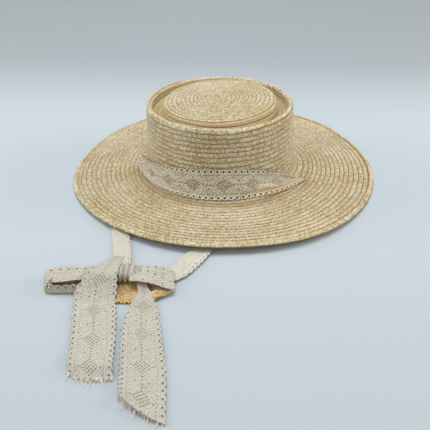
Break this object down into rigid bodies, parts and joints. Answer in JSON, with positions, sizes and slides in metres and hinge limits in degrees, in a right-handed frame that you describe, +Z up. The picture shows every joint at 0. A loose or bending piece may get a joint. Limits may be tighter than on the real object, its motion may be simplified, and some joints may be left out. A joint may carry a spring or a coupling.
{
  "type": "boater hat",
  "caption": "Boater of sewn straw braid with a flat oval crown, a sunk channel round its top, a wide brim and a lace ribbon tied in a bow.",
  "frame": {"origin": "on the table, under the middle of the whole part's bounding box", "axes": "+Z up from the table, -Y towards the front of the hat, +X towards the wearer's left; +Y is the way the part is longest"},
  "size_m": [0.3544, 0.5724, 0.0906],
  "materials": {
    "straw": "plaited natural straw, slightly glossy",
    "cotton_lace": "matt ecru cotton lace"
  },
  "bodies": {
    "root": {"crown": "straw", "brim": "straw", "lace_band": "cotton_lace", "tie_left": "cotton_lace", "tie_right": "cotton_lace", "bow_knot": "cotton_lace", "bow_loop_left": "cotton_lace", "bow_loop_right": "cotton_lace", "bow_tail_left": "cotton_lace", "bow_tail_right": "cotton_lace"}
  },
  "joints": []
}
